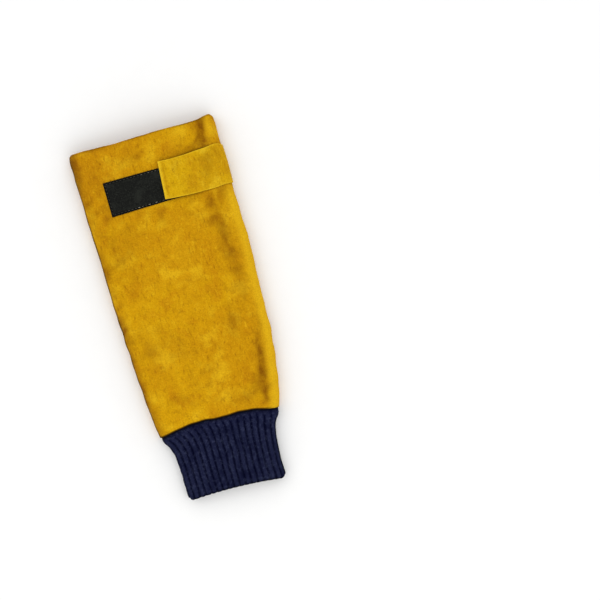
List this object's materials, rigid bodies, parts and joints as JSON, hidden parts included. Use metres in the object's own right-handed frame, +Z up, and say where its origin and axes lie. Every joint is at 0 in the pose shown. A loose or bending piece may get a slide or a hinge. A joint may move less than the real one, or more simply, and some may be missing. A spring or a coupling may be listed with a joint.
{
  "type": "welding sleeve",
  "caption": "Forearm sleeve for welding: split-leather tube with a wrap strap and fastening patch at the upper arm and a ribbed knit cuff at the wrist.",
  "frame": {"origin": "under the middle of the whole sleeve, on the surface that it lies on", "axes": "+Z up out of the front, which carries the strap and patch; +Y along the sleeve towards the upper-arm opening; +X to the edge that the strap wraps round"},
  "size_m": [0.189, 0.456, 0.0372],
  "materials": {
    "sleeve_leather": "napped golden-yellow split suede, mottled",
    "strap_leather": "napped golden-yellow split suede with raw cut edges",
    "loop_tape": "black napped loop tape with woven selvedges",
    "hook_tape": "black hook tape",
    "rib_knit": "navy rib knit"
  },
  "bodies": {
    "root": {"sleeve_body": "sleeve_leather", "strap": "strap_leather", "loop_patch": "loop_tape", "hook_patch": "hook_tape", "knit_cuff": "rib_knit"}
  },
  "joints": []
}
